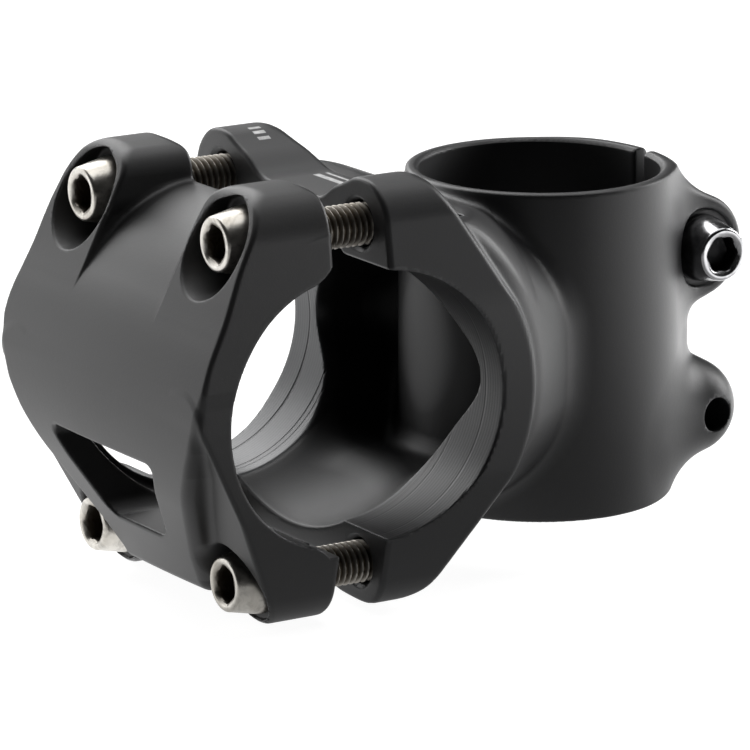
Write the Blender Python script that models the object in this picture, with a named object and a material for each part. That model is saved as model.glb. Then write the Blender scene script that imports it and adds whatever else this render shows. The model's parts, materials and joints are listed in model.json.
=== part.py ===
"""Short mountain-bike handlebar stem with a four-bolt faceplate, loosened for fitting a bar.

Frame: metres, +Z up along the steerer axis, -Y towards the handlebar, X across the bike.
The origin is the centre of the stem's footprint at its lowest level.
"Front" is -Y; "left" is -X and "right" +X, as seen from the front.
Everything is drawn in millimetres and scaled when its object is made.
"""

import math

import bmesh
import bpy
from mathutils import Matrix, Vector

MM = 0.001

# Steerer clamp
STEERER_Y = 18.5          # steerer axis, measured from the footprint centre
CLAMP_BOTTOM_Z = 5.3      # underside of the steerer clamp
STACK = 40.0              # height of the steerer clamp
STEERER_BORE_R = 14.4     # slips over a 28.6 mm steerer tube
TUBE_R_END = 15.9         # outside radius at the rims
TUBE_R_MID = 17.0         # and at its fullest
TUBE_STEPS = 10
TUBE_CHAMFER = (0.7, 0.6)  # radially, axially

# Bar clamp
EXTENSION = 36.0          # steerer axis to bar axis
BAR_RISE = 20.0           # bar axis above the steerer clamp's underside
BAR_BORE_R = 15.9         # 31.8 mm handlebar
CLAMP_HALF_WIDTH = 23.0
WALL_R = 20.2             # outer radius of the C behind the bar
SPLIT_BACK = 1.0          # the body's split face lies this far behind the bar axis
LAND_RELIEF_HALF = 10.4   # half-width of the relief between the clamping lands
LAND_RELIEF_DEPTH = 1.9
STEERER_WALL = 2.2        # left between the hollow and the steerer bore

# Faceplate
FACE_R = 21.0             # outer radius
CROWN_R = 22.0            # radius of the cut between its upper ears
FACE_SPLIT = 2.2          # split face, in front of the faceplate's own bore axis
FACE_OPEN = 4.6           # how far the faceplate is backed off, as modelled

# Faceplate bolts and the ears round them
BOLT_X = 15.0             # either side of the middle
BOLT_Z = 20.0             # above and below the bar axis
EAR_R = 5.6               # upper ears, body side
FACE_EAR_R = 6.3          # upper ears on the faceplate
LOWER_EAR_R = 5.3         # lower ears on both
UPPER_SEAT = 8.7          # seat of the upper heads in front of the faceplate's bore axis
LOWER_SEAT = 7.6
RECESS_R = 5.3            # pockets of the upper heads
LOWER_RECESS_R = 4.6
THREAD_HOLE_DEPTH = 12.5  # behind the body's split face

# Pinch bolts
PINCH_Y = 18.2            # behind the steerer axis
PINCH_HALF = 8.0          # boss faces, either side of the middle
PINCH_SLOT = 1.8
SPOTFACE_R = 4.6
SPOTFACE_DEPTH = 0.4
BOSSES = {"upper": (6.3, 0.0), "lower": (5.6, -0.5)}  # radius, centre behind the bolt axis
BOSS_ROOT_Y = 9.0         # where a boss meets the clamp, behind the steerer axis
BOSS_FLARE = 1.4          # extra half-height there

# Bolts
THREAD_R = 2.5            # M5
HOLE_R = 2.8
TIP_CHAMFER = (0.7, 0.8)  # radially, axially
HEAD_BASE_R = 4.2
HEAD_TOP_R = 3.4
HEAD_H = 4.9
SOCKET_R = 2.31           # corners of a 4 mm hexagon
SOCKET_DEPTH = 2.6
FACE_BOLT_LENGTH = 18.0
PINCH_BOLT_LENGTH = 14.0
GAP = 0.3                 # between a seat and the underside of its head

# How far cutters run, chosen to pass right through the part
REACH = 40.0
SHORT_REACH = 30.0
CUT_Z = (-20, 80)

BAR_Y = STEERER_Y - EXTENSION
BAR_Z = CLAMP_BOTTOM_Z + BAR_RISE
SPLIT_Y = BAR_Y + SPLIT_BACK
FACE_Y = BAR_Y - FACE_OPEN
FACE_SPLIT_Y = FACE_Y - FACE_SPLIT
TOP_Z = CLAMP_BOTTOM_Z + STACK
PINCH_BOLT_Y = STEERER_Y + PINCH_Y

# Pinch bolts: level, side its head is on, height
PINCHES = (
    ("upper", 1, CLAMP_BOTTOM_Z + 29.1),
    ("lower", -1, CLAMP_BOTTOM_Z + 9.2),
)


def clear_scene():
    for obj in list(bpy.data.objects):
        bpy.data.objects.remove(obj, do_unlink=True)


def material(name, colour, roughness, metallic):
    mat = bpy.data.materials.new(name)
    mat.use_nodes = True
    shader = mat.node_tree.nodes["Principled BSDF"]
    shader.inputs["Base Color"].default_value = (*colour, 1)
    shader.inputs["Roughness"].default_value = roughness
    shader.inputs["Metallic"].default_value = metallic
    return mat


# Objects and booleans

def add(name, bm):
    """An object from a bmesh drawn in millimetres, with its faces turned out."""
    bmesh.ops.recalc_face_normals(bm, faces=bm.faces)
    bmesh.ops.scale(bm, vec=(MM, MM, MM), verts=bm.verts)
    mesh = bpy.data.meshes.new(name)
    bm.to_mesh(mesh)
    bm.free()
    obj = bpy.data.objects.new(name, mesh)
    bpy.context.scene.collection.objects.link(obj)
    return obj


def piece(name, bm, mat):
    """A visible part: smooth shaded, with sharp edges kept."""
    obj = add(name, bm)
    obj.data.shade_smooth()
    obj.data.set_sharp_from_angle(angle=math.radians(35))
    obj.data.materials.append(mat)
    return obj


def helper(name, bm):
    """A hidden solid for a boolean."""
    obj = add(name, bm)
    obj.hide_render = True
    obj.display_type = "WIRE"
    return obj


def boolean(obj, other, operation):
    mod = obj.modifiers.new(operation.lower() + "_" + other.name, "BOOLEAN")
    mod.object = other
    mod.operation = operation
    mod.solver = "EXACT"


def cut(obj, name, bm):
    boolean(obj, helper(name, bm), "DIFFERENCE")


def join(obj, name, bm):
    boolean(obj, helper(name, bm), "UNION")


def trim(obj, name, bm):
    """Keep only what lies inside the helper."""
    boolean(obj, helper(name, bm), "INTERSECT")


# Solids

def prism(points, axis, low, high):
    """A closed polygon pushed through along an axis; points are the two other coordinates."""
    bm = bmesh.new()
    place = {
        "x": lambda point, along: (along, point[0], point[1]),
        "y": lambda point, along: (point[0], along, point[1]),
        "z": lambda point, along: (point[0], point[1], along),
    }[axis]
    face = bm.faces.new([bm.verts.new(place(point, low)) for point in points])
    grown = bmesh.ops.extrude_face_region(bm, geom=[face])
    moved = [item for item in grown["geom"] if isinstance(item, bmesh.types.BMVert)]
    bmesh.ops.translate(bm, vec=Vector(place((0, 0), high - low)), verts=moved)
    return bm


def rod(start, end, radius, sides):
    """A plain cylinder between two points."""
    start, end = Vector(start), Vector(end)
    bm = bmesh.new()
    turn = (end - start).to_track_quat("Z", "Y").to_matrix().to_4x4()
    bmesh.ops.create_cone(
        bm,
        cap_ends=True,
        segments=sides,
        radius1=radius,
        radius2=radius,
        depth=(end - start).length,
        matrix=Matrix.Translation((start + end) / 2) @ turn,
    )
    return bm


def rod_x(start, end, y, z, radius, sides):
    return rod((start, y, z), (end, y, z), radius, sides)


def rod_y(start, end, x, z, radius, sides):
    return rod((x, start, z), (x, end, z), radius, sides)


def steerer_rod(radius, sides):
    return rod((0, STEERER_Y, CUT_Z[0]), (0, STEERER_Y, CUT_Z[1]), radius, sides)


def turned(profile, centre, direction, sides):
    """A solid of revolution; the profile is (radius, height) from one end to the other."""
    bm = bmesh.new()
    turn = Vector(direction).to_track_quat("Z", "Y").to_matrix()
    rings = []
    for radius, height in profile:
        ring = []
        for i in range(sides if radius else 1):
            angle = 2 * math.pi * i / sides
            point = Vector((radius * math.cos(angle), radius * math.sin(angle), height))
            ring.append(bm.verts.new(turn @ point + Vector(centre)))
        rings.append(ring)
    for low, high in zip(rings, rings[1:]):
        for i in range(sides):
            j = (i + 1) % sides
            corners = [
                low[i % len(low)], low[j % len(low)],
                high[j % len(high)], high[i % len(high)],
            ]
            # A ring of one point makes triangles, so repeats are dropped.
            bm.faces.new(list(dict.fromkeys(corners)))
    if len(rings[0]) > 1:
        bm.faces.new(list(reversed(rings[0])))
    if len(rings[-1]) > 1:
        bm.faces.new(rings[-1])
    return bm


# Outlines

def arc(centre_x, centre_y, radius, start, end, steps):
    """Points on an arc between two angles in degrees."""
    angles = [math.radians(start + (end - start) * i / steps) for i in range(steps + 1)]
    return [
        (centre_x + radius * math.cos(angle), centre_y + radius * math.sin(angle))
        for angle in angles
    ]


def rectangle(half_width, low, high):
    return [(-half_width, low), (half_width, low), (half_width, high), (-half_width, high)]


def mirror(points):
    """The points on the other side of x = 0, in reverse order."""
    return [(-x, y) for x, y in reversed(points)]


def shift(points, across, up):
    return [(x + across, y + up) for x, y in points]


def hull(circles, steps=96):
    """The outline of a belt drawn tight round circles (x, y, radius), anticlockwise."""
    outline = []
    for i in range(steps):
        angle = 2 * math.pi * i / steps
        out_x, out_y = math.cos(angle), math.sin(angle)
        x, y, radius = max(circles, key=lambda c: c[0] * out_x + c[1] * out_y + c[2])
        point = (x + radius * out_x, y + radius * out_y)
        if not outline or math.dist(point, outline[-1]) > 0.05:
            outline.append(point)
    return outline


def clamp_front(upper_ear_r, side_z, side_r):
    """Front view of the bar clamp, narrowing round each pair of bolts."""
    return hull([
        (side * x, BAR_Z + z, radius)
        for side in (-1, 1)
        for x, z, radius in (
            (BOLT_X, BOLT_Z, upper_ear_r),
            (BOLT_X, -BOLT_Z, LOWER_EAR_R),
            (CLAMP_HALF_WIDTH - side_r, side_z, side_r),
            (CLAMP_HALF_WIDTH - side_r, -side_z, side_r),
        )
    ])


# Stem body

def bar_clamp(mat):
    """The C behind the bar: a round wall whose ears stand up and down to the bolts."""
    corner_r = 3.0
    upper_z = BAR_Z + BOLT_Z + EAR_R - corner_r
    side = hull([
        (BAR_Y, BAR_Z, WALL_R),
        (BAR_Y + 5.0, upper_z, corner_r),
        (BAR_Y - 6.0, upper_z, corner_r),
        (BAR_Y + 4.6, BAR_Z - BOLT_Z, LOWER_EAR_R),
        (BAR_Y - 6.0, BAR_Z - BOLT_Z, LOWER_EAR_R),
    ])
    body = piece("stem_body", prism(side, "x", -CLAMP_HALF_WIDTH, CLAMP_HALF_WIDTH), mat)
    front = clamp_front(EAR_R, side_z=9.0, side_r=5.0)
    trim(body, "front_outline", prism(front, "y", BAR_Y - REACH, BAR_Y + REACH))
    return body


def cut_saddles(body):
    """Saddles between the two upper ears and the two lower ears."""
    # Left half: x, distance above or below the bar axis
    left = [(-11.5, 34.0), (-8.4, 25.4), (-7.2, 22.9), (-5.4, 22.0)]
    outline = left + mirror(left)
    for sign, name in ((1, "upper_saddle"), (-1, "lower_saddle")):
        points = [(x, BAR_Z + sign * z) for x, z in outline]
        cut(body, name, prism(points, "y", BAR_Y - SHORT_REACH, BAR_Y + SHORT_REACH))


def join_steerer_clamp(body):
    """The steerer clamp, slightly fuller at mid-height."""
    inset, rise = TUBE_CHAMFER
    tube = [(TUBE_R_END - inset, 0), (TUBE_R_END, rise)]
    for i in range(1, TUBE_STEPS):
        part = i / TUBE_STEPS
        bulge = (TUBE_R_MID - TUBE_R_END) * (1 - (2 * part - 1) ** 2)
        tube.append((TUBE_R_END + bulge, STACK * part))
    tube += [(TUBE_R_END, STACK - rise), (TUBE_R_END - inset, STACK)]
    centre = (0, STEERER_Y, CLAMP_BOTTOM_Z)
    join(body, "steerer_clamp", turned(tube, centre, (0, 0, 1), 72))


def join_neck(body):
    """The neck between the clamps: waisted in plan, sloping gently towards the steerer."""
    # Right side in plan: x, y from the steerer axis, with an elliptical waist
    right = [(20.0, -24.0), (19.6, -17.0)]
    for degrees in (15, 30, 45, 60, 75, 90):
        angle = math.radians(degrees)
        right.append((22.6 - 7.6 * math.sin(angle), -8.2 - 8.4 * math.cos(angle)))
    right.append((14.8, 0.0))
    waist = shift(mirror(right[:1]) + right + mirror(right[1:]), 0, STEERER_Y)
    neck = helper("neck", prism(waist, "z", CLAMP_BOTTOM_Z - 2, TOP_Z + 4))

    # Side view: y from the steerer axis, z from the bar axis
    flank = [(-30, -21.6), (-14, -18.4), (2, -17.4), (2, 17.4), (-14, 18.4), (-30, 21.6)]
    trim(neck, "neck_flank", prism(shift(flank, STEERER_Y, BAR_Z), "x", -30, 30))

    rounded = hull([
        (side * 7.6, BAR_Z + level * 9.4, 11.8) for side in (-1, 1) for level in (-1, 1)
    ])
    trim(neck, "neck_section", prism(rounded, "y", STEERER_Y - 30, STEERER_Y + 10))
    boolean(body, neck, "UNION")


def join_bosses(body):
    """Two pinch-bolt bosses across the back of the steerer clamp."""
    root_y = STEERER_Y + BOSS_ROOT_Y
    for level, _, z in PINCHES:
        radius, offset = BOSSES[level]
        outline = arc(PINCH_BOLT_Y + offset, z, radius, -90, 90, 24)
        outline += [(root_y, z + radius + BOSS_FLARE), (root_y, z - radius - BOSS_FLARE)]
        join(body, level + "_boss", prism(outline, "x", -PINCH_HALF, PINCH_HALF))


def cut_bar_opening(body):
    split = rectangle(SHORT_REACH, SPLIT_Y - REACH, SPLIT_Y)
    cut(body, "split", prism(split, "z", *CUT_Z))
    cut(body, "bar_bore", rod_x(-REACH, REACH, BAR_Y, BAR_Z, BAR_BORE_R, 96))


def cut_pocket(body):
    """The hollow behind the bar, which stops at the steerer clamp's own wall."""
    half_width, half_height, lift = 17.2, 13.4, 0.7
    sides = 64
    angles = [2 * math.pi * i / sides for i in range(sides)]
    ellipse = [
        (half_width * math.cos(angle), BAR_Z + lift + half_height * math.sin(angle))
        for angle in angles
    ]
    pocket = helper("pocket", prism(ellipse, "y", BAR_Y + 6, STEERER_Y - 8.5))

    # Right side in plan: x, y from the steerer axis
    right = [(17.4, -EXTENSION), (17.4, -18.0), (12.2, -10.0), (11.0, -4.0)]
    taper = shift(mirror(right[:1]) + right + mirror(right[1:]), 0, STEERER_Y)
    trim(pocket, "pocket_taper", prism(taper, "z", *CUT_Z))
    cut(pocket, "steerer_wall", steerer_rod(STEERER_BORE_R + STEERER_WALL, 72))
    boolean(body, pocket, "DIFFERENCE")


def cut_land_relief(body):
    """A shallow relief between the two clamping lands."""
    radius = BAR_BORE_R + LAND_RELIEF_DEPTH
    relief = rod_x(-LAND_RELIEF_HALF, LAND_RELIEF_HALF, BAR_Y, BAR_Z, radius, 96)
    cut(body, "land_relief", relief)


def cut_steerer_openings(body):
    cut(body, "steerer_bore", steerer_rod(STEERER_BORE_R, 96))
    slot = rectangle(PINCH_SLOT / 2, STEERER_Y + 8, STEERER_Y + 40)
    cut(body, "pinch_slot", prism(slot, "z", *CUT_Z))
    for level, _, z in reversed(PINCHES):
        hole = rod_x(-SHORT_REACH, SHORT_REACH, PINCH_BOLT_Y, z, HOLE_R, 24)
        cut(body, level + "_pinch_hole", hole)
    # Each head sits in a spotface that bites a little into the round of the clamp.
    for level, side, z in PINCHES:
        seat_x = side * (PINCH_HALF - SPOTFACE_DEPTH)
        spotface = rod_x(seat_x, side * SHORT_REACH, PINCH_BOLT_Y, z, SPOTFACE_R, 36)
        cut(body, level + "_spotface", spotface)


def cut_thread_holes(body):
    """Holes for the faceplate bolts."""
    for side in (-1, 1):
        for level in (-1, 1):
            x, z = side * BOLT_X, BAR_Z + level * BOLT_Z
            hole = rod_y(SPLIT_Y - 5, SPLIT_Y + THREAD_HOLE_DEPTH, x, z, HOLE_R, 24)
            cut(body, "thread_hole", hole)


def stem_body(mat):
    body = bar_clamp(mat)
    cut_saddles(body)
    join_steerer_clamp(body)
    join_neck(body)
    join_bosses(body)
    # The openings come last, so that they pass through everything joined on.
    cut_bar_opening(body)
    cut_pocket(body)
    cut_land_relief(body)
    cut_steerer_openings(body)
    cut_thread_holes(body)


# Faceplate

def plate_blank(mat):
    upper_r, lower_r = 2.6, 3.0
    upper_z = BAR_Z + BOLT_Z + FACE_EAR_R - upper_r
    lower_z = BAR_Z - BOLT_Z - LOWER_EAR_R + lower_r
    side = hull([
        (FACE_Y, BAR_Z, FACE_R),
        (FACE_Y - 9.4, upper_z, upper_r),
        (FACE_Y + 6.0, upper_z, upper_r),
        (FACE_Y - 8.2, lower_z, lower_r),
        (FACE_Y + 6.0, lower_z, lower_r),
    ])
    plate = piece("faceplate", prism(side, "x", -CLAMP_HALF_WIDTH, CLAMP_HALF_WIDTH), mat)
    front = clamp_front(FACE_EAR_R, side_z=11.0, side_r=4.0)
    trim(plate, "face_outline", prism(front, "y", FACE_Y - REACH, FACE_Y + REACH))
    return plate


def cut_between_ears(plate):
    """A round crown between the upper ears and a flat notch between the lower ones."""
    front_y, back_y = FACE_Y - REACH, FACE_Y + REACH
    low_z, high_z = BAR_Z + 2, BAR_Z + 50
    crown = [(back_y, low_z)]
    crown += [point for point in arc(FACE_Y, BAR_Z, CROWN_R, 0, 180, 32) if point[1] >= low_z]
    crown += [(front_y, low_z), (front_y, high_z), (back_y, high_z)]
    cut(plate, "crown", prism(crown, "x", -8.6, 8.6))
    notch = rectangle(8.8, BAR_Z - 40, BAR_Z - 22.8)
    cut(plate, "arch", prism(notch, "y", front_y, back_y))


def cut_steps(plate):
    """The lower ears stand back from the tongue in the middle."""
    tongue_half = 12.4
    # y from the faceplate's bore axis, z from the bar axis
    step = [(-40, -1.6), (-18.6, -2.4), (-9.3, -23.4), (-5.0, -33.0), (-40, -33.0)]
    step = shift(step, FACE_Y, BAR_Z)
    cut(plate, "left_step", prism(step, "x", -REACH, -tongue_half))
    cut(plate, "right_step", prism(step, "x", tongue_half, REACH))


def cut_window(plate):
    """The window in the lower half of the plate."""
    left = [(-11.0, BAR_Z - 6.0), (-6.4, BAR_Z - 16.2)]
    cut(plate, "window", prism(left + mirror(left), "y", FACE_Y - REACH, FACE_Y - 5))


def cut_plate_holes(plate):
    """Seats for the bolt heads, and the holes through them."""
    front_y = FACE_Y - REACH
    upper_z, lower_z = BAR_Z + BOLT_Z, BAR_Z - BOLT_Z
    for side in (-1, 1):
        x = side * BOLT_X
        recess = rod_y(front_y, FACE_Y - UPPER_SEAT, x, upper_z, RECESS_R, 48)
        cut(plate, "upper_recess", recess)
        seat = rod_y(front_y, FACE_Y - LOWER_SEAT, x, lower_z, LOWER_RECESS_R, 48)
        cut(plate, "lower_seat", seat)
        for z in (lower_z, upper_z):
            cut(plate, "bolt_hole", rod_y(front_y, FACE_Y + 20, x, z, HOLE_R, 24))


def faceplate(mat):
    plate = plate_blank(mat)
    cut_between_ears(plate)
    cut_steps(plate)
    cut_window(plate)
    split = rectangle(REACH, FACE_SPLIT_Y, FACE_SPLIT_Y + REACH)
    cut(plate, "face_split", prism(split, "z", *CUT_Z))
    cut(plate, "face_bore", rod_x(-REACH, REACH, FACE_Y, BAR_Z, BAR_BORE_R, 96))
    cut_plate_holes(plate)
    return plate


# Bolts

def bolt(name, seat, outward, length, mat):
    """A socket-head bolt with its origin on its own axis, at the seat its head faces."""
    inset, rise = TIP_CHAMFER
    profile = [
        (0, -length), (THREAD_R - inset, -length), (THREAD_R, -length + rise), (THREAD_R, GAP),
        (HEAD_BASE_R - 0.25, GAP), (HEAD_BASE_R, GAP + 0.25),
        (HEAD_TOP_R + 0.25, HEAD_H - 0.35), (HEAD_TOP_R - 0.1, HEAD_H), (0, HEAD_H),
    ]
    obj = piece(name, turned(profile, (0, 0, 0), outward, 40), mat)
    direction = Vector(outward)
    socket = helper(name + "_socket", rod(
        direction * (HEAD_H - SOCKET_DEPTH), direction * (HEAD_H + 2), SOCKET_R, 6))
    boolean(obj, socket, "DIFFERENCE")
    obj.location = Vector(seat) * MM
    socket.parent = obj
    return obj


def faceplate_bolts(plate, mat):
    for sign_x, side in ((-1, "left"), (1, "right")):
        for sign_z, level, depth in ((1, "upper", UPPER_SEAT), (-1, "lower", LOWER_SEAT)):
            seat = (sign_x * BOLT_X, FACE_Y - depth, BAR_Z + sign_z * BOLT_Z)
            name = "faceplate_bolt_%s_%s" % (level, side)
            bolt(name, seat, (0, -1, 0), FACE_BOLT_LENGTH, mat).parent = plate


def steerer_bolts(mat):
    for level, side, z in PINCHES:
        seat = (side * (PINCH_HALF - SPOTFACE_DEPTH), PINCH_BOLT_Y, z)
        bolt("steerer_bolt_" + level, seat, (side, 0, 0), PINCH_BOLT_LENGTH, mat)


def build():
    clear_scene()
    black = material(
        "satin_black_alloy", colour=(0.028, 0.028, 0.031), roughness=0.48, metallic=0.6)
    face_black = material(
        "satin_black_faceplate", colour=(0.032, 0.032, 0.035), roughness=0.48, metallic=0.6)
    steel = material(
        "plated_steel", colour=(0.60, 0.58, 0.55), roughness=0.26, metallic=1.0)
    polished = material(
        "polished_steel", colour=(0.42, 0.42, 0.43), roughness=0.16, metallic=1.0)

    stem_body(black)
    plate = faceplate(face_black)
    faceplate_bolts(plate, steel)
    steerer_bolts(polished)


build()
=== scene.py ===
"""A short handlebar stem: forged satin-black body and faceplate, six socket-head bolts.

X runs along the handlebar and Z is up. The faceplate is at the front (-Y), the steerer clamp
at the back (+Y), and left is -X. The forgings are distance fields in millimetres, turned into
meshes by dual contouring; the bolts are lofted ring by ring, thread included.
"""

import json
import math

import bpy
import numpy as np
from mathutils import Matrix, Vector


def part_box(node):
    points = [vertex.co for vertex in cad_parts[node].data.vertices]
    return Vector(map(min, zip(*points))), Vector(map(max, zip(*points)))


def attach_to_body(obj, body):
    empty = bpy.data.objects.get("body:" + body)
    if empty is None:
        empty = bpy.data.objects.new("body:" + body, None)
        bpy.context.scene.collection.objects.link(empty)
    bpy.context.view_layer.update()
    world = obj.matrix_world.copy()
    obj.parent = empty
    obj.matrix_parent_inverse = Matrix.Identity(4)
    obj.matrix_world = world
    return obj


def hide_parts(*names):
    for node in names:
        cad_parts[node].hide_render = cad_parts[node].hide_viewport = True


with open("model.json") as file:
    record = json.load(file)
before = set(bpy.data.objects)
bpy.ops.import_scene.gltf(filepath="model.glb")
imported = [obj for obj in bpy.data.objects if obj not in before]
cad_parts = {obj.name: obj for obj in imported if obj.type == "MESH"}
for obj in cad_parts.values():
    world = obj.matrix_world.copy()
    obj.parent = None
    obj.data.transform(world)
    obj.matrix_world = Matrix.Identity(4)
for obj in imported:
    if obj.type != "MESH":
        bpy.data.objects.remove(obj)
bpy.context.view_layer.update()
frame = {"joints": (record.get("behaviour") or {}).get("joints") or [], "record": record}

MM = 0.001
F = np.float32

# ---------------------------------------------------------------- places in mm, from the frame
joints = {joint["name"]: joint for joint in frame["joints"]}
mounts = {mount["name"]: mount for mount in frame["record"]["mounts"]}
openings = {hole["name"]: hole["box_m"] for hole in frame["record"]["physics"]["openings"]}


def in_mm(point):
    return [1000.0 * c for c in point]


def bolt_seat(bolt):
    return in_mm(joints[bolt + "_turn"]["pos_m"])


upper_left = bolt_seat("faceplate_bolt_upper_left")
lower_left = bolt_seat("faceplate_bolt_lower_left")
pinch_upper = bolt_seat("steerer_bolt_upper")
pinch_lower = bolt_seat("steerer_bolt_lower")
clamp_low, clamp_high = openings["handlebar_clamp"]
clamp_top = in_mm(mounts["steerer_clamp_top_face"]["pos_m"])
clamp_bottom = in_mm(mounts["steerer_clamp_bottom_face"]["pos_m"])

BAR_Y = 500.0 * (clamp_low[1] + clamp_high[1])
BAR_Z = 500.0 * (clamp_low[2] + clamp_high[2])
HALF_W = float(1000.0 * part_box("stem_body")[1][0])

# Faceplate bolts: distance from the middle in X and Z, and depth of the head seats.
BOLT_X = -upper_left[0]
BOLT_Z = (upper_left[2] - lower_left[2]) / 2
UPPER_SEAT = 8.7
LOWER_SEAT = 7.6
FACE_Y = upper_left[1] + UPPER_SEAT     # centre of the faceplate's bore

# Steerer clamp and pinch bolts, measured from the bar axis.
STEERER_Y = clamp_top[1] - BAR_Y
HALF_STACK = (clamp_top[2] - clamp_bottom[2]) / 2
MID_Z = (clamp_top[2] + clamp_bottom[2]) / 2 - BAR_Z
PINCH_Y = pinch_upper[1] - BAR_Y
PINCH_UPPER_Z = pinch_upper[2] - BAR_Z
PINCH_LOWER_Z = pinch_lower[2] - BAR_Z

# Sizes of the forgings.
BORE = 15.9             # radius round the bar
STEERER_BORE = 14.4     # radius round the steerer
CRADLE_R = 20.6         # outer radius of the body's C behind the bar
SHEET_R = 20.95         # outer radius of the faceplate sheet
BOSS_HEAD = 8.0         # pinch lobes: reach in X on the bolt-head side
BOSS_DOME = 12.0        # and on the domed side
CLEAR_R = 2.8           # clearance holes
TAPPED_R = 2.75         # threaded holes for the faceplate bolts
SPOTFACE_R = 4.75       # flats under the bolt heads


# ---------------------------------------------------------------- distance fields
union = np.minimum
overlap = np.maximum


def meet(first, second, radius):
    """Intersection with a rounded edge; the radius may vary over the grid."""
    corner = np.hypot(np.maximum(first + radius, 0), np.maximum(second + radius, 0))
    return np.minimum(np.maximum(first, second), -radius) + corner


def cut(shape, tool, radius):
    """Shape less tool, with a rounded edge."""
    return meet(shape, -tool, radius)


def cut_chamfered(shape, tool, size):
    """Shape less tool, with a flat chamfer."""
    return np.maximum(overlap(shape, -tool), (shape - tool + size) * 0.70710678)


def join(first, second, radius):
    """Union with a rounded inner corner."""
    return -meet(-first, -second, radius)


def fuse(first, second, width):
    """Smooth union, blended over a width."""
    share = np.clip(0.5 + (0.5 / width) * (second - first), 0, 1)
    return second + (first - second) * share - width * share * (1 - share)


def belt(x, y, start, end):
    """A belt drawn round two circles (x, y, radius)."""
    run_x, run_y = end[0] - start[0], end[1] - start[1]
    length = math.hypot(run_x, run_y)
    run_x, run_y = run_x / length, run_y / length
    sine = (start[2] - end[2]) / length
    cosine = F(math.sqrt(1 - sine * sine))
    from_x, from_y = x - start[0], y - start[1]
    side = np.abs(from_x * run_y - from_y * run_x)
    along = from_x * run_x + from_y * run_y
    station = cosine * along - sine * side
    field = side * cosine + along * sine - start[2]
    field = np.where(station < 0, np.hypot(side, along) - start[2], field)
    past_end = station > cosine * F(length)
    return np.where(past_end, np.hypot(side, along - length) - end[2], field)


def belts(x, y, *pairs):
    """Union of belts, each given by its two circles."""
    field = belt(x, y, *pairs[0])
    for pair in pairs[1:]:
        field = union(field, belt(x, y, *pair))
    return field


def ease(value, start, end):
    """Smooth step from 0 at start to 1 at end."""
    t = np.clip((value - start) / (end - start), 0, 1)
    return t * t * (3 - 2 * t)


# ---------------------------------------------------------------- body, from the bar axis
def pocket_field(x, y, z):
    """The hollow behind the bar and the dished relief that carries it out through the split face."""
    across = np.abs(x)
    from_steerer = np.hypot(x, y - STEERER_Y)
    half = 11.9 + 5.6 * np.exp(-((z - 0.8) ** 2) / 38.0)    # widest near bar height
    neck_half = np.clip(22.4 - 0.6 * (y - CRADLE_R), 14.4, 21.6)
    within = across - half
    hollow = meet(within, np.abs(z - 0.7) - 13.8, 6.0)
    hollow = meet(hollow, y - 27.6, 4.0)
    hollow = meet(hollow, (STEERER_BORE + 2.3) - from_steerer, 2.5)
    hollow = meet(hollow, across - (neck_half - 3.3), 2.0)
    hollow = overlap(hollow, 3.0 - y)
    dish = np.maximum(1.0 - (across / half) ** 2, 0)
    relief = meet(within, np.hypot(y, z) - BORE - 2.9 * dish, 0.5)
    return join(hollow, relief, 2.2)


def cradle_fields(across, y, z):
    """The C behind the bar, and its front outline alone."""
    # From the side: round back, upper ears, lower ears.
    back = (0, 0, CRADLE_R)
    upper, lower = (6.5, 23.0, 2.8), (4.4, -19.6, 5.3)
    side = belts(
        y, z, (back, upper), (back, lower),
        ((-6, 23.0, 2.8), upper), ((-6, -19.6, 5.3), lower))
    # From the front: ears above, lobes below, a saddle between them.
    ear = (BOLT_X + 0.6, BOLT_Z, 5.55)
    shoulder, hip = (18.0, 9.0, 5.0), (18.0, -9.0, 5.0)
    lobe = (BOLT_X, -BOLT_Z, 5.4)
    ears = belts(
        across, z, (ear, shoulder), (ear, (12.0, 20.0, 4.0)),
        (shoulder, hip), (hip, lobe), (lobe, (11.8, -21.3, 3.7)))
    middle = overlap(across - 14.5, np.abs(z) - 13.0)
    middle = union(middle, meet(across - 12.2, np.abs(z - 0.1) - 21.2, 0.5))
    front = fuse(ears, middle, 3.6)
    return meet(side, front, 0.9), front


def neck_field(across, y, z, front):
    """A cone closing in from the rim of the C, square-shouldered there and rounder at the back."""
    half = np.clip(22.5 - 0.66 * (np.hypot(y, z) - CRADLE_R), 14.4, 22.4)
    above = np.clip(22.3 - 0.38 * (y - 10.0), 17.5, 22.6)
    below = 17.2 + 4.3 * np.exp(-np.maximum(y - 6, 0) / 9.0)
    tall = np.where(z > 0, above, below)
    radius = np.where(z > 0, 4.5 + 9.0 * ease(y, 14.0, 28.0), F(13.5))
    over_x = across - (half - radius)
    over_z = np.abs(z) - (tall - radius)
    corner = np.hypot(np.maximum(over_x, 0), np.maximum(over_z, 0))
    neck = (corner + np.minimum(np.maximum(over_x, over_z), 0) - radius) * 0.88
    neck = meet(neck, front + 0.6, 1.2)
    neck = overlap(neck, 6.0 - y)
    return overlap(neck, y - STEERER_Y)


def lobe_field(x, y, z, head_side, root, end):
    """A lobe across the back: flat on the side of its bolt head, domed on the other."""
    toward_head = x * head_side
    lobe = belt(y, z, root, end)
    lobe = meet(lobe, toward_head - BOSS_HEAD, 1.1)
    return meet(lobe, -toward_head - BOSS_DOME, 5.6)


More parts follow.
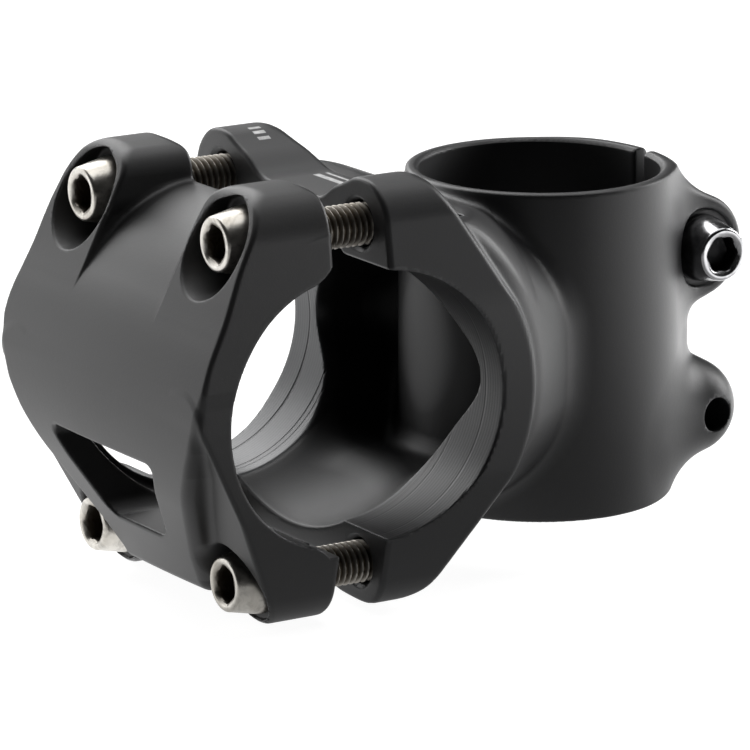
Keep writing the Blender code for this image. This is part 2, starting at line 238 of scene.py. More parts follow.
def steerer_clamp_field(x, y, z, neck):
    """The tube round the steerer, a little fuller at mid-height, with neck, lobes and web."""
    rise = (z - MID_Z) / HALF_STACK
    tube = np.hypot(x, y - STEERER_Y) - (15.9 + 1.15 * (1 - rise * rise))
    tube = meet(tube, np.abs(z - MID_Z) - HALF_STACK, 0.55)
    upper = lobe_field(
        x, y, z, 1,
        root=(STEERER_Y + 9.5, PINCH_UPPER_Z + 1.4, 8.6), end=(PINCH_Y - 0.3, PINCH_UPPER_Z, 6.4))
    lower = lobe_field(
        x, y, z, -1,
        root=(STEERER_Y + 9.5, PINCH_LOWER_Z - 0.6, 6.6),
        end=(PINCH_Y - 0.9, PINCH_LOWER_Z + 0.2, 5.9))
    web = meet(np.abs(y - (STEERER_Y + 11.6)) - 5.4, np.abs(z + 1.0) - 9.0, 0.5)
    web = meet(web, np.abs(x) - (BOSS_HEAD - 1.0), 2.5)
    clamp = fuse(tube, neck, 1.9)
    clamp = fuse(clamp, fuse(fuse(upper, lower, 1.6), web, 1.5), 4.6)
    return meet(clamp, np.abs(z - MID_Z) - HALF_STACK, 0.4)


def body_field(x, y, z):
    across = np.abs(x)
    cradle, front = cradle_fields(across, y, z)
    clamp = steerer_clamp_field(x, y, z, neck_field(across, y, z, front))
    body = fuse(cradle, clamp, 0.6)
    body = meet(body, across - HALF_W, 0.45)

    # Split face, bar bore flared at its ends, and the pocket.
    body = meet(body, 1.0 - y, 0.6)
    mouth = 0.35 * np.clip(across - (HALF_W - 0.35), 0, 1)
    body = meet(body, BORE + mouth - np.hypot(y, z), 0.2)
    body = cut(body, pocket_field(x, y, z), 0.35)

    # Steerer bore, pinch slot, pinch-bolt holes and spotfaces.
    flare = np.clip(np.abs(z - MID_Z) - (HALF_STACK - 0.5), 0, 1)
    body = meet(body, STEERER_BORE + flare - np.hypot(x, y - STEERER_Y), 0.2)
    slot = overlap(across - 1.0, (STEERER_Y + 8) - y)
    body = cut(body, slot, 0.25)
    for head_side, pinch_z in ((1, PINCH_UPPER_Z), (-1, PINCH_LOWER_Z)):
        radial = np.hypot(y - PINCH_Y, z - pinch_z)
        toward_head = x * head_side
        hole = overlap(radial - CLEAR_R, -toward_head - 6.45)
        hole = union(hole, radial - 2.1)
        body = cut_chamfered(body, hole, 0.1)
        spotface = meet(radial - SPOTFACE_R, (BOSS_HEAD - 0.4) - toward_head, 0.3)
        body = cut(body, spotface, 0.3)

    # Threaded holes for the faceplate bolts, with countersunk mouths.
    radial = np.hypot(across - BOLT_X, np.abs(z) - BOLT_Z)
    hole = radial - (TAPPED_R + np.clip(1.5 - y, 0, 0.5))
    return cut(body, overlap(hole, y - 13.5), 0.15)


# ---------------------------------------------------------------- faceplate, from its bore centre
# The front sheet: height, half width. Full a little above bar height, drawn in to the tongue below.
SHEET_OUTLINE = (
    (-21.2, 9.6), (-17.7, 11.2), (-11.5, 15.4), (-5.5, 19.6), (-2.1, 21.4),
    (0.8, 22.3), (5.0, 23.0), (9.0, 22.55), (20.0, 21.3),
)


def sheet_field(across, y, z, crown):
    """One crowned sheet from the saddle between the ears down to the tongue."""
    bar, tongue = (0, 0, SHEET_R), (-10.0, -20.9, 1.9)
    sheet = belts(y, z, (bar, tongue), (tongue, (4.0, -20.9, 1.9)))
    sheet = sheet + crown - 0.85 * ease(z, 13, 20)
    heights, widths = zip(*SHEET_OUTLINE)
    half = np.interp(z.ravel(), heights, widths).astype(F).reshape(z.shape)
    slope = 1.0 - 0.17 * ease(-z, -1, 6)
    sheet = meet(sheet, (across - half) * slope, 1.2 - 0.7 * ease(z, 0.0, 8.0))
    return meet(sheet, z - 21.6, 0.5)


def upper_ears_field(across, y, z, crown):
    """Flat fronts leaving the crown at its tangent and rolling over at the top."""
    bar, roll = (0, 0, SHEET_R), (-8.2, 22.8, 3.1)
    side = belts(y, z, (bar, roll), (roll, (4.0, 22.8, 3.1)))
    side = meet(side, y + 1.6, 2.1) + crown * (1 - ease(z, 12, 19))
    inner, bolt = (12.3, 22.3, 3.4), (BOLT_X, BOLT_Z, 6.3)
    front = belts(
        across, z, (bolt, (18.4, 5.0, 4.6)), (inner, (13.3, 5.0, 4.6)), (inner, bolt))
    ears = meet(side, front, 0.5)
    return overlap(ears, 8.5 - z) + 0.06 * (1 - ease(z, 9.0, 11.5))


def lower_ears_field(across, y, z):
    """Leaning flats that stand back from the tongue."""
    side = -0.904 * y - 0.428 * z - 17.95
    shoulder = (18.5, -10.0, 4.5)
    front = belts(
        across, z, ((BOLT_X, -BOLT_Z, 5.3), shoulder), (shoulder, (18.5, 0.0, 4.5)))
    front = union(front, overlap(across - 18.6, np.abs(z + 7.0) - 11.0))
    front = union(front, overlap(across - 15.5, np.abs(z + 11.0) - 11.2))
    flat = meet(side, front, 0.6)
    ears = meet(flat, np.hypot(y, z) - 20.2, 0.5)
    return union(ears, overlap(flat, z + 7.0))


def face_field(x, y, z):
    across = np.abs(x)
    from_bar = np.hypot(y, z)
    crown = 0.55 * (across / 23.0) ** 2
    sheet = sheet_field(across, y, z, crown)
    upper = upper_ears_field(across, y, z, crown)
    lower = lower_ears_field(across, y, z)

    # Sheet and upper ears blend widely only in the saddle between the ears.
    width = 0.05 + 0.9 * ease(z, 11.0, 18.0) * ease(-across, -14, -10)
    share = np.clip(0.5 + (upper - sheet) / (2 * width), 0, 1)
    face = upper + (sheet - upper) * share - width * share * (1 - share)
    face = fuse(face, lower, 0.9)
    face = meet(face, across - HALF_W, 0.5)

    # Split face, then the bore with its ends and split edges eased.
    setback = 1.6 - 1.2 * ease(-z, 4, 12)
    face = meet(face, y + setback, 0.8)
    rim = 0.6 * np.clip(across - (HALF_W - 0.5), 0, 1)
    rim = rim + 1.2 * np.clip(y + 4.6, 0, 2.6) ** 2 / 6.8
    face = meet(face, BORE + rim - from_bar, 0.25)

    # Shallow relief between the clamping lands, and the window below the bar axis.
    relief = meet(across - 12.0, from_bar - (BORE + 1.2), 1.0)
    face = cut(face, relief, 0.4)
    window_side = (across - (11.6 + (z + 6.0) * 0.52)) * 0.89
    window = meet(window_side, np.abs(z + 11.0) - 5.2, 1.6)
    face = cut(face, overlap(window, y + 6.0), 0.4)

    # Recesses for the upper heads, leaning and widening outwards; spotfaces below; holes.
    depth = np.clip(-y - UPPER_SEAT, 0, 9)
    up = np.hypot(across - BOLT_X, z - BOLT_Z)
    down = np.hypot(across - BOLT_X, z + BOLT_Z)
    well = belt(
        across + 0.03 * depth, z + 0.09 * depth,
        (BOLT_X, BOLT_Z, 5.25), (12.9, 21.9, 2.75)) - 0.035 * depth
    face = cut(face, meet(well, y + UPPER_SEAT, 0.5), 0.2)
    face = cut(face, meet(down - SPOTFACE_R, y + LOWER_SEAT, 0.3), 0.3)
    return meet(face, -union(up, down) + CLEAR_R, 0.2)


# ---------------------------------------------------------------- dual contouring
def gradient(field, points, reach=0.05):
    """Unit normals of the field at points, from a tetrahedron of samples."""
    slopes = np.zeros_like(points)
    for way in np.array([[1, -1, -1], [-1, -1, 1], [-1, 1, -1], [1, 1, 1]], F):
        slopes += way * field(*(points + way * reach).T)[:, None]
    return slopes / np.maximum(np.linalg.norm(slopes, axis=1, keepdims=True), 1e-9)


def crossings(field, axes, values, axis, spacing):
    """Grid edges along an axis that cross the surface: low corner, place, normal, low end inside."""
    before, after = [slice(None)] * 3, [slice(None)] * 3
    before[axis], after[axis] = slice(None, -1), slice(1, None)
    before, after = values[tuple(before)], values[tuple(after)]
    crossed = (before < 0) != (after < 0)
    corners = np.argwhere(crossed)
    value0, value1 = before[crossed], after[crossed]
    starts_inside = value0 < 0
    grid = np.stack([axes[k][corners[:, k]] for k in range(3)], 1)

    def place(share):
        points = grid.copy()
        points[:, axis] += share * spacing
        return points

    # Close in on the crossing by false position, kept off the ends of the bracket.
    share = value0 / (value0 - value1)
    share0, share1 = np.zeros_like(share), np.ones_like(share)
    for _ in range(3):
        value = field(*place(share).T)
        same = (value < 0) == (value0 < 0)
        share0, value0 = np.where(same, share, share0), np.where(same, value, value0)
        share1, value1 = np.where(same, share1, share), np.where(same, value1, value)
        drop = np.where(np.abs(value0 - value1) < 1e-9, 1e-9, value0 - value1)
        share = share0 + (share1 - share0) * np.clip(value0 / drop, 0.02, 0.98)
    points = place(share)
    return corners, points, gradient(field, points), starts_inside


def fit_vertices(index, count, points, normals):
    """One vertex per cell, by least squares to the tangent planes at its crossings."""
    def total(values):
        return np.bincount(index, weights=values, minlength=count)

    hits = total(np.ones(len(index)))
    mass = np.stack([total(points[:, k]) / hits for k in range(3)], 1)
    offset = ((points - mass[index]) * normals).sum(1)
    matrix = np.zeros((count, 3, 3))
    right = np.zeros((count, 3))
    for i in range(3):
        right[:, i] = total(normals[:, i] * offset)
        for j in range(i, 3):
            matrix[:, i, j] = matrix[:, j, i] = total(normals[:, i] * normals[:, j])
    matrix /= hits[:, None, None]
    right /= hits[:, None]
    matrix += np.eye(3) * 0.015     # pulls flat cells towards their mean crossing
    return mass + np.linalg.solve(matrix, right[:, :, None])[:, :, 0]


def contour(field, low, high, spacing):
    """Vertices and quads of the field's zero surface; edges and corners stay crisp."""
    axes = [np.arange(a, b + spacing, spacing, dtype=F) for a, b in zip(low, high)]
    sizes = [len(axis) for axis in axes]
    values = np.empty(sizes, F)
    for i in range(0, sizes[0], 16):
        values[i:i + 16] = field(
            axes[0][i:i + 16, None, None], axes[1][None, :, None], axes[2][None, None, :])
    cells, points, normals, quads = [], [], [], []
    strides = np.array([sizes[1] * sizes[2], sizes[2], 1])
    for axis in range(3):
        corners, places, slopes, starts_inside = crossings(field, axes, values, axis, spacing)
        step1, step2 = strides[(axis + 1) % 3], strides[(axis + 2) % 3]
        home = corners @ strides
        around = [home - step1 - step2, home - step2, home, home - step1]
        cells += around
        points += [places] * 4
        normals += [slopes] * 4
        quad = np.stack(around, 1)
        quad[~starts_inside] = quad[~starts_inside][:, ::-1]
        quads.append(quad)
    ids, index = np.unique(np.concatenate(cells), return_inverse=True)
    verts = fit_vertices(
        index.ravel(), len(ids),
        np.concatenate(points).astype(np.float64), np.concatenate(normals).astype(np.float64))
    corner = np.stack([
        axes[0][ids // strides[0]],
        axes[1][ids // strides[1] % sizes[1]],
        axes[2][ids % sizes[2]],
    ], 1).astype(np.float64)
    verts = np.clip(verts, corner - 0.02 * spacing, corner + 1.02 * spacing)
    return verts.astype(F), np.searchsorted(ids, np.concatenate(quads))


def field_mesh(name, field, low, high, spacing, origin, pocket=None):
    """A mesh of the field in metres, with its normals and edge/hollow/inside values."""
    verts, quads = contour(field, low, high, spacing)
    normals = gradient(field, verts, 0.08)
    error = field(*verts.T)
    verts = verts - normals * np.clip(error, -0.25 * spacing, 0.25 * spacing)[:, None]

    # Edge: thin or turning within 0.7 mm below. Hollow: metal within 1.2 mm above.
    reach = 0.7
    below = verts - normals * reach
    edge = np.clip(1 + field(*below.T) / reach, 0, 1)
    edge = edge * np.clip((gradient(field, below, 0.1) * normals).sum(1) * 3, 0, 1)
    reach = 1.2
    hollow = np.clip(1 - field(*(verts + normals * reach).T) / reach, 0, 1)
    # Inside: the pocket walls away from the bar bore, used for painted shade in the material.
    inside = np.zeros(len(verts), F)
    if pocket is not None:
        inside = np.clip(1.6 - np.abs(pocket(*verts.T)) * 3, 0, 1)
        off_bore = np.hypot(verts[:, 1], verts[:, 2]) - BORE - 0.35
        inside = inside * np.clip(off_bore * 2, 0, 1)

    mesh = bpy.data.meshes.new(name)
    mesh.vertices.add(len(verts))
    mesh.vertices.foreach_set("co", ((verts + np.array(origin, F)) * F(MM)).ravel())
    mesh.loops.add(quads.size)
    mesh.loops.foreach_set("vertex_index", quads.ravel().astype(np.int32))
    mesh.polygons.add(len(quads))
    mesh.polygons.foreach_set("loop_start", np.arange(0, quads.size, 4, dtype=np.int32))
    mesh.update(calc_edges=True)
    mesh.shade_smooth()
    for key, values in (("edge", edge), ("hollow", hollow), ("inside", inside)):
        mesh.attributes.new(key, "FLOAT", "POINT").data.foreach_set("value", values.astype(F))

    # Corner normals are read a little inside each face, which keeps sharp edges sharp.
    centre = verts[quads].mean(1)
    corner = verts[quads] + (centre[:, None, :] - verts[quads]) * 0.3
    corner_normals = gradient(field, corner.reshape(-1, 3), 0.06)
    mesh.normals_split_custom_set(corner_normals.reshape(-1, 3).tolist())
    mesh.validate()
    obj = bpy.data.objects.new(name, mesh)
    bpy.context.scene.collection.objects.link(obj)
    return obj


# ---------------------------------------------------------------- bolts
AROUND = 96
THETA = np.arange(AROUND) * 2 * math.pi / AROUND
CREST_R, ROOT_R, PITCH = 2.5, 1.98, 0.8     # M5 x 0.8 thread
SHANK_R, TIP_R = 2.42, 1.75
HEAD_BASE_R, HEAD_TOP_R, HEAD_H = 4.05, 3.25, 4.9
RIM = 0.4                                   # rounding of both rims of the head
HEX_ACROSS, HEX_CORNER = 4.0, 0.12          # socket across flats, and how much its corners lose


def hexagon():
    """Radius of the slightly rounded hexagonal socket at each angle."""
    turn = (THETA + math.pi / 6) % (math.pi / 3) - math.pi / 6
    flat = (HEX_ACROSS / 2) / np.cos(turn)
    return np.minimum(flat, HEX_ACROSS / 2 / math.cos(math.pi / 6) - HEX_CORNER)


def loft(name, rings):
    """A closed skin over rings of (radius, height, shade), up local Z; the top dips 0.35 mm."""
    verts, faces, shade = [], [], []
    for radius, height, dark in rings:
        radius = np.zeros(AROUND) + radius
        level = np.full(AROUND, float(height))
        verts.append(np.stack([radius * np.cos(THETA), radius * np.sin(THETA), level], 1))
        shade.append(np.zeros(AROUND) + dark)
    i = np.arange(AROUND)
    j = (i + 1) % AROUND
    last = (len(rings) - 1) * AROUND
    for start in range(0, last, AROUND):
        end = start + AROUND
        faces.append(np.stack([start + i, start + j, end + j, end + i], 1))
    faces = np.concatenate(faces).tolist()
    verts = np.concatenate(verts).tolist()
    bottom, top = len(verts), len(verts) + 1
    verts += [[0, 0, rings[0][1]], [0, 0, rings[-1][1] - 0.35]]
    faces += [[bottom, int(q), int(p)] for p, q in zip(i, j)]
    faces += [[top, int(last + p), int(last + q)] for p, q in zip(i, j)]
    mesh = bpy.data.meshes.new(name)
    mesh.from_pydata(verts, [], faces)
    mesh.update()
    values = np.concatenate(shade).tolist() + [rings[0][2], 1.0]
    mesh.attributes.new("shade", "FLOAT", "POINT").data.foreach_set("value", values)
    mesh.shade_smooth()
    mesh.set_sharp_from_angle(angle=math.radians(42))
    return mesh


def thread_rings(length, thread_from):
    """Narrow crests over rounded roots with painted shade, from the tip up, running out at both
    ends.
    """
    rings = [(1.45, -length, 0.5), (TIP_R, -length, 0.5)]
    z = -length
    while z < -thread_from:
        phase = (z / PITCH - THETA / (2 * math.pi)) % 1.0
        wave = np.clip((0.5 - np.abs(phase - 0.5)) * 3.0 - 0.38, 0, 1)
        wave = wave * wave * (3 - 2 * wave)
        lead_in = min(1.0, (z + length) / 0.9)
        run_out = float(np.clip((-thread_from - z) / 0.8, 0, 1))
        radius = SHANK_R + (ROOT_R + (CREST_R - ROOT_R) * wave - SHANK_R) * run_out
        radius = np.minimum(radius, TIP_R + (CREST_R - TIP_R) * lead_in)
        rings.append((radius, z, (0.35 + 0.65 * (1 - wave)) * run_out + 0.2 * (1 - run_out)))
        z += PITCH / 12
    return rings


def head_rings():
    """Underside, rounded lower rim, tapered flank, rounded top rim and hexagonal socket."""
    rings = [(2.62, -0.05, 0.4), (2.9, 0.03, 0.6), (HEAD_BASE_R - 0.45, 0.03, 0.6)]
    for k in range(5):
        a = math.pi / 2 * k / 4
        rings.append((HEAD_BASE_R - RIM + RIM * math.sin(a), 0.43 - RIM * math.cos(a), 0.35))
    rings.append((HEAD_BASE_R - 0.02, 0.75, 0.12))
    for k in range(1, 6):
        t = k / 6
        radius = HEAD_BASE_R + (HEAD_TOP_R - HEAD_BASE_R) * t
        rings.append((radius, 0.75 + (HEAD_H - 0.75 - RIM) * t, 0.0))
    for k in range(7):
        a = math.pi / 2 * k / 6
        radius = HEAD_TOP_R - RIM + RIM * math.cos(a)
        rings.append((radius, HEAD_H - RIM + RIM * math.sin(a), 0.0))
    # Socket: radius, depth below the top, shade.
    socket = hexagon()
    for radius, depth, dark in (
        (2.66, 0, 0.0), (2.56, 0.03, 0.0), (0.5 * socket + 0.5 * 2.45, 0.14, 0.25),
        (socket, 0.36, 0.55), (socket, 0.8, 0.85), (socket, 1.4, 1.0), (socket, 2.5, 1.0),
        (socket * 0.93, 2.62, 1.0), (socket * 0.55 + 0.3, 2.7, 1.0), (1.0, 2.75, 1.0),
    ):
        rings.append((radius, HEAD_H - depth, dark))
    return rings


def bolt_mesh(name, length, thread_from):
    """A tapered socket-head bolt in mm, head up +Z, seat at height 0."""
    shank = [(SHANK_R, -thread_from + 0.05, 0.2), (SHANK_R, -0.35, 0.2)]
    return loft(name, thread_rings(length, thread_from) + shank + head_rings())


def attach(obj, node):
    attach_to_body(obj, node)
    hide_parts(node)


def add_bolt(name, mesh, node, outward, spin, material):
    """Stand a bolt on its joint, head outward, with the placing baked into its mesh."""
    obj = bpy.data.objects.new(name, mesh)
    bpy.context.scene.collection.objects.link(obj)
    turn = Vector(outward).to_track_quat("Z", "Y").to_matrix().to_4x4()
    place = Matrix.Translation(Vector(bolt_seat(node)) * MM)
    obj.matrix_world = place @ turn @ Matrix.Rotation(spin, 4, "Z") @ Matrix.Scale(MM, 4)
    bpy.context.view_layer.update()
    obj.data.transform(obj.matrix_world)
    obj.matrix_world = Matrix.Identity(4)
    obj.data.materials.append(material)
    attach(obj, node)


# ---------------------------------------------------------------- materials
class Value:
    """A shader output; arithmetic on it adds math nodes to its tree."""

    def __init__(self, tree, socket):
        self.tree = tree
        self.socket = socket

    def math(self, operation, *operands):
        node = self.tree.nodes.new("ShaderNodeMath")
        node.operation = operation
        for slot, operand in zip(node.inputs, operands):
            feed(slot, operand)
        return Value(self.tree, node.outputs[0])

    def clamped(self):
        self.socket.node.use_clamp = True
        return self

    def __add__(self, other):
        return self.math("ADD", self, other)

    def __radd__(self, other):
        return self.math("ADD", other, self)

    def __sub__(self, other):
        return self.math("SUBTRACT", self, other)

    def __rsub__(self, other):
        return self.math("SUBTRACT", other, self)

    def __mul__(self, other):
        return self.math("MULTIPLY", self, other)

    def __truediv__(self, other):
        return self.math("DIVIDE", self, other)

    def __abs__(self):
        return self.math("ABSOLUTE", self)


def feed(slot, value):
    """Set a node input to a number or colour, or link a Value to it."""
    if isinstance(value, Value):
        value.tree.links.new(value.socket, slot)
    elif isinstance(value, tuple):
        slot.default_value = (*value, 1)
    else:
        slot.default_value = value


class Material:
    def __init__(self, name):
        self.material = bpy.data.materials.new(name)
        self.material.use_nodes = True
        self.tree = self.material.node_tree
        self.tree.nodes.clear()
        self.output = self.node("ShaderNodeOutputMaterial")
        self.shader = self.node("ShaderNodeBsdfPrincipled")

    def node(self, kind, inputs={}, **settings):
        node = self.tree.nodes.new(kind)
        for key, value in settings.items():
            setattr(node, key, value)
        for key, value in inputs.items():
            feed(node.inputs[key], value)
        return node

    def out(self, node, key=0):
        return Value(self.tree, node.outputs[key])

    def coords(self):
        return self.out(self.node("ShaderNodeTexCoord"), "Object")

    def split(self, vector):
        node = self.node("ShaderNodeSeparateXYZ", {0: vector})
        return [self.out(node, k) for k in range(3)]

    def attribute(self, name):
        return self.out(self.node("ShaderNodeAttribute", attribute_name=name), "Fac")

    def noise(self, coords, scale, detail, rough=0.55, distortion=0.0):
        return self.out(self.node("ShaderNodeTexNoise", {
            "Scale": scale, "Detail": detail, "Roughness": rough,
            "Distortion": distortion, "Vector": coords}), "Fac")

    def ramp(self, value, stops):
        node = self.node("ShaderNodeValToRGB", {"Fac": value})
        elements = node.color_ramp.elements
        while len(elements) < len(stops):
            elements.new(0.5)
        for element, (position, colour) in zip(elements, stops):
            element.position = position
            element.color = (*colour, 1)
        return self.out(node, "Color")

    def mix(self, factor, first, second):
        inputs = {0: factor, 6: first, 7: second}
        return self.out(self.node("ShaderNodeMix", inputs, data_type="RGBA"), 2)

    def finish(self, height, bump, **inputs):
        """Feed the principled shader, with 0.03 mm of bump, and return the material."""
        relief = self.out(self.node("ShaderNodeBump", {
            "Strength": bump, "Distance": 0.00003, "Height": height}))
        feed(self.shader.inputs["Normal"], relief)
        for key, value in inputs.items():
            feed(self.shader.inputs[key.replace("_", " ")], value)
        feed(self.output.inputs[0], self.out(self.shader))
        return self.material


def scaled(colour, factor):
    return tuple(c * factor for c in colour)


def box_mask(xyz, low, high):
    """1 inside a box given in metres, falling to 0 over 0.12 mm."""
    mask = None
    for k in range(3):
        centre, half = (low[k] + high[k]) / 2, (high[k] - low[k]) / 2
        inside = ((half - abs(xyz[k] - centre)) / 0.00012 + 0.5).clamped()
        mask = inside if mask is None else mask * inside
    return mask


# Scored rings in the bar bore: distance from the middle, half width (mm), strength.
GROOVES = ((19.2, 0.24, 0.9), (14.3, 0.20, 0.8), (13.4, 0.16, 0.55))


def satin_alloy(name, base, axis_y, marks=()):
    """Blasted, anodised alloy: fine grain, mottling, turned lines in the bar bore, worn edges with a
    painted edge highlight, painted shade in hollows and the pocket, painted light on the left lands.
    """
    mat = Material(name)
    coords = mat.coords()
    xyz = mat.split(coords)
    edge = mat.attribute("edge")
    hollow = mat.attribute("hollow")
    grain = mat.noise(coords, scale=5200, detail=2.0, rough=0.6)
    fine = mat.noise(coords, scale=1500, detail=4.0, rough=0.6)
    broad = mat.noise(coords, scale=75, detail=4.0, distortion=0.4)
    smudge = mat.noise(coords, scale=28, detail=5.0, rough=0.6, distortion=0.8)

    # Distance from the bar axis tells the clamping lands from the rest.
    from_y = xyz[1] - axis_y * MM
    from_z = xyz[2] - BAR_Z * MM
    radius = (from_y * from_y + from_z * from_z).math
    radius = radius("SQRT", from_y * from_y + from_z * from_z) if False else None
    squared = from_y * from_y + from_z * from_z
    radius = squared.math("SQRT", squared)
    land = (((BORE + 0.28) * MM - radius) * 6000).clamped()
    lines = mat.out(mat.node("ShaderNodeTexWave", {
        "Scale": 620, "Distortion": 1.4, "Detail": 3, "Detail Scale": 0.6, "Vector": coords,
    }, wave_type="BANDS", bands_direction="X"), "Fac")
    across = abs(xyz[0])
    groove = None
    for place, width, strength in GROOVES:
        ring = (1.0 - abs(across - place * MM) / (width * MM)).clamped() * strength
        groove = ring if groove is None else groove.math("MAXIMUM", groove, ring)
    left = (xyz[0] * -2000 + 0.3).clamped()
    groove = groove * land * (left * 0.8 + 0.2)

    # Colour: mottling, specks, worn edges with a painted highlight, lands a little paler with
    # painted light on the left ones, painted shade in hollows, dark grooves, painted shade in the
    # pocket, marks.
    tone = mat.ramp(broad, [(0.3, scaled(base, 0.86)), (0.7, scaled(base, 1.14))])
    speck = mat.ramp(grain, [(0.62, (0, 0, 0)), (0.78, (1, 1, 1))])
    colour = mat.mix(speck * 0.10, tone, (0.10, 0.10, 0.105))
    # Thin and convex edges lighter: partly wear, partly a painted highlight along the edges.
    edge_wear_and_highlight = ((edge - 0.16) * 2.6).clamped()
    patchy = ((fine - 0.32) * 3.0).clamped()
    edge_wear_and_highlight = edge_wear_and_highlight * (patchy * 0.6 + 0.4)
    colour = mat.mix(edge_wear_and_highlight * 0.34, colour, (0.15, 0.15, 0.155))
    # Lands a little paler all round; much paler on the left, which is painted light where light
    # falls on the far land.
    colour = mat.mix(land * (0.04 + left * 0.22), colour, (0.075, 0.080, 0.088))
    # Painted shade: hollows and inside corners darkened towards a dim copy of the base colour.
    cavity_shade = ((hollow - 0.35) * 1.4).clamped()
    colour = mat.mix(cavity_shade * 0.45, colour, scaled(base, 0.45))
    colour = mat.mix(groove * 0.8, colour, (0.008, 0.008, 0.009))
    # Painted shade: the walls of the pocket darkened nearly to black, and their specular level
    # lowered below.
    inside = mat.attribute("inside")
    colour = mat.mix(inside * 0.3, colour, (0.004, 0.004, 0.0042))
    for low, high in marks:
        paint = box_mask(xyz, low, high) * (0.55 + patchy * 0.4)
        colour = mat.mix(paint, colour, (0.62, 0.62, 0.62))

    # Relief: blast grain everywhere but weak on the lands, turned lines only there.
    height = (grain * 0.5 + fine * 0.5) * (1.0 - land * 0.7)
    height = height + lines * land * 0.35 - groove * 6.0
    return mat.finish(
        height, bump=0.55, Base_Color=colour, Metallic=0.25, IOR=1.55,
        Roughness=0.40 + broad * 0.07 + smudge * 0.05 - edge_wear_and_highlight * 0.10 - land * 0.06,
        Specular_IOR_Level=(1.0 - inside * 0.4) * 0.55)


def plated_steel(name, base, rough, tarnish, grime_and_shade):
    """Plated steel with a film of oil: blotched gloss, and painted shade with some dark residue
    where the shade value is high.
    """
    mat = Material(name)
    coords = mat.coords()
    fine = mat.noise(coords, scale=2600, detail=4.0, rough=0.6)
    blotch = mat.noise(coords, scale=520, detail=5.0, rough=0.65, distortion=1.2)
    broad = mat.noise(coords, scale=160, detail=4.0, rough=0.6, distortion=0.6)
    colour = mat.ramp(blotch, [(0.30, scaled(base, 0.62)), (0.52, base), (0.75, scaled(base, 1.12))])
    colour = mat.mix(((broad - 0.45) * 2.2).clamped(), colour, tarnish)
    # Painted shade with some oily residue: where the loft's shade value is high (thread roots,
    # socket, under the head) the colour goes to the given dark colour.
    shade = mat.attribute("shade")
    smeared_shade = (shade + shade * (blotch - 0.5) * 0.9).clamped()
    return mat.finish(
        fine * 0.5 + blotch * 0.6, bump=0.35, Metallic=1.0,
        Base_Color=mat.mix(smeared_shade, colour, grime_and_shade),
        Roughness=rough + blotch * 0.16 + shade * 0.22 + fine * 0.05)


def pale_floor():
    """Bright to the camera; to reflections and bounce, painted light: the floor glows on the left
    and behind the stem, like a lit table.
    """
    mat = Material("pale_floor")
    grainy = mat.noise(mat.coords(), scale=40, detail=4.0)
    tone = mat.ramp(grainy, [(0.3, (0.24, 0.24, 0.24)), (0.7, (0.27, 0.27, 0.27))])
    for key, value in (("Base Color", tone), ("Roughness", 0.9), ("Specular IOR Level", 0.1)):
        feed(mat.shader.inputs[key], value)
    diffuse = mat.out(mat.shader)
    bright = mat.out(mat.node("ShaderNodeEmission", {"Strength": 0.95}))
    to_camera = mat.out(mat.node("ShaderNodeAddShader", {0: bright, 1: diffuse}))
    x, y, _ = mat.split(mat.coords())
    # Painted light: emission rising on the left and behind the stem, seen only in reflections and
    # bounce.
    left = ((0.030 - x) * 25.0).clamped()
    behind = ((y - 0.055) * 14.0).clamped()
    glow = left * 1.0 + behind * 1.9 + 0.22
    painted_glow = mat.out(mat.node("ShaderNodeEmission", {"Strength": glow}))
    to_others = mat.out(mat.node("ShaderNodeAddShader", {0: painted_glow, 1: diffuse}))
    camera_ray = mat.out(mat.node("ShaderNodeLightPath"), "Is Camera Ray")
    seen = mat.node("ShaderNodeMixShader", {0: camera_ray, 1: to_others, 2: to_camera})
    feed(mat.output.inputs[0], mat.out(seen))
    return mat.material


# ---------------------------------------------------------------- pieces
GRID_X, GRID_BOTTOM, GRID_TOP = HALF_W + 1.1, -26.8, 28.4

body = field_mesh(
    "body_forging", body_field,
    low=(-GRID_X, -0.6, GRID_BOTTOM), high=(GRID_X, PINCH_Y + 7.6, GRID_TOP),
    spacing=0.42, origin=(0, BAR_Y, BAR_Z), pocket=pocket_field)
face = field_mesh(
    "faceplate_forging", face_field,
    low=(-GRID_X, -22.6, GRID_BOTTOM), high=(GRID_X, 0.6, GRID_TOP),
    spacing=0.34, origin=(0, FACE_Y, BAR_Z))

# Plain painted strokes: three on the left ear, two across the saddle behind the ears.
strokes = [
    ((x * MM, -13.2 * MM, 47.0 * MM), ((x + 0.55) * MM, -11.6 * MM, 53.0 * MM))
    for x in (-14.6, -13.5, -12.4)]
strokes += [
    ((-4.5 * MM, y * MM, 44.0 * MM), (4.5 * MM, (y + width) * MM, 50.0 * MM))
    for y, width in ((-10.4, 0.9), (-8.7, 0.4))]
body.data.materials.append(
    satin_alloy("satin_black_body", (0.013, 0.013, 0.014), BAR_Y, strokes))
face.data.materials.append(
    satin_alloy("satin_black_faceplate", (0.015, 0.0148, 0.0155), FACE_Y))
attach(body, "stem_body")
attach(face, "faceplate")

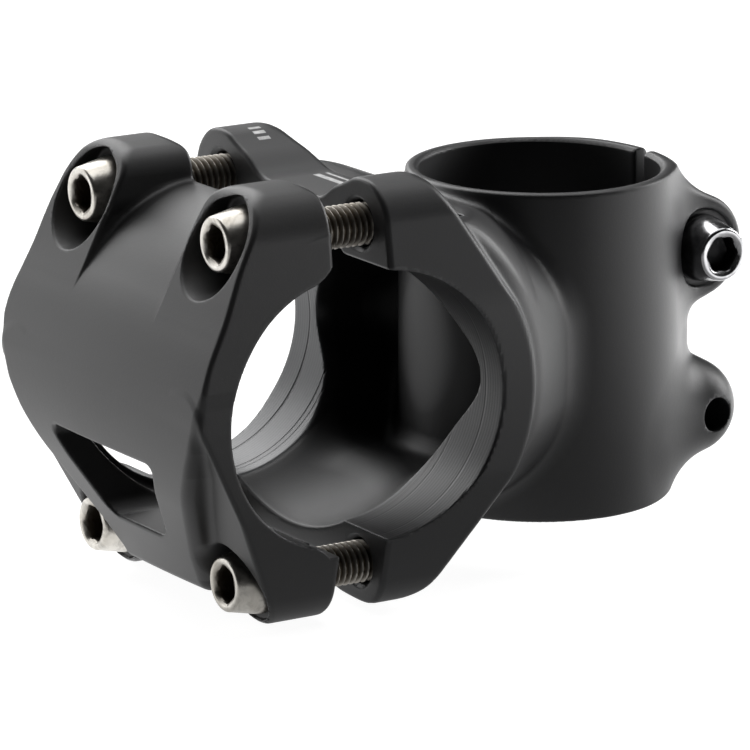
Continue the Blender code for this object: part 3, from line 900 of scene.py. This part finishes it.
steel = plated_steel(
    "plated_steel", base=(0.55, 0.53, 0.49), rough=0.20,
    tarnish=(0.22, 0.19, 0.15), grime_and_shade=(0.075, 0.060, 0.043))
polished = plated_steel(
    "polished_steel", base=(0.50, 0.50, 0.51), rough=0.10,
    tarnish=(0.12, 0.12, 0.13), grime_and_shade=(0.03, 0.03, 0.031))
face_bolt = bolt_mesh("face_bolt", length=18.0, thread_from=2.0)
for place, spin in (
    ("upper_left", 0.10), ("upper_right", 0.32), ("lower_left", 0.55), ("lower_right", 0.21),
):
    add_bolt(
        "screw_" + place, face_bolt.copy(), "faceplate_bolt_" + place,
        (0, -1, 0), spin, steel)
pinch_bolt = bolt_mesh("pinch_bolt", length=14.0, thread_from=3.0)
for place, outward, spin in (("upper", (1, 0, 0), 0.45), ("lower", (-1, 0, 0), 0.15)):
    add_bolt(
        "pinch_screw_" + place, pinch_bolt.copy(), "steerer_bolt_" + place,
        outward, spin, polished)

# ---------------------------------------------------------------- floor, light, camera
scene = bpy.context.scene
scene.view_settings.view_transform = "Standard"
scene.view_settings.look = "None"

floor_mesh = bpy.data.meshes.new("floor")
floor_mesh.from_pydata([(-6, -6, 0), (6, -6, 0), (6, 6, 0), (-6, 6, 0)], [], [(0, 1, 2, 3)])
floor = bpy.data.objects.new("floor", floor_mesh)
floor.location = (0, 0, -0.0004)
scene.collection.objects.link(floor)
floor_mesh.materials.append(pale_floor())

world = bpy.data.worlds.new("studio")
scene.world = world
world.use_nodes = True
background = world.node_tree.nodes["Background"]
background.inputs["Color"].default_value = (1, 1, 1, 1)
background.inputs["Strength"].default_value = 0.015

CAMERA_PLACE = Vector((600.07, -387.41, 207.48)) * MM
CAMERA_AXES = Matrix((      # columns: the camera's right, up and back
    (0.53743, -0.21299, 0.81597),
    (0.84330, 0.13366, -0.52055),
    (0.00181, 0.96787, 0.25145),
))


def softbox(name, azimuth, elevation, distance, size, power):
    """An area light aimed at the stem; azimuth is in degrees to the right of the camera."""
    back = CAMERA_AXES.col[2]
    turn = math.atan2(back.y, back.x) + math.radians(azimuth)
    rise = math.radians(elevation)
    direction = Vector((
        math.cos(turn) * math.cos(rise), math.sin(turn) * math.cos(rise), math.sin(rise)))
    data = bpy.data.lights.new(name, "AREA")
    data.shape = "RECTANGLE"
    data.size, data.size_y = size
    data.energy = power
    obj = bpy.data.objects.new(name, data)
    obj.location = Vector((0, 0, 0.025)) + direction * distance
    obj.rotation_mode = "QUATERNION"
    obj.rotation_quaternion = direction.to_track_quat("Z", "Y")
    scene.collection.objects.link(obj)


softbox("overhead", azimuth=175, elevation=72, distance=1.1, size=(1.2, 1.0), power=8)
softbox("key_box", azimuth=-150, elevation=36, distance=1.1, size=(0.9, 0.9), power=10)
softbox("left_box", azimuth=-114, elevation=14, distance=1.0, size=(0.6, 0.7), power=2.5)
softbox("right_box", azimuth=118, elevation=22, distance=1.0, size=(0.40, 0.6), power=7)

camera_data = bpy.data.cameras.new("camera")
camera_data.sensor_width = 36
camera_data.lens = 299.64
camera_data.clip_start, camera_data.clip_end = 0.05, 20
camera = bpy.data.objects.new("camera", camera_data)
camera.matrix_world = Matrix.Translation(CAMERA_PLACE) @ CAMERA_AXES.to_4x4()
scene.collection.objects.link(camera)
scene.camera = camera
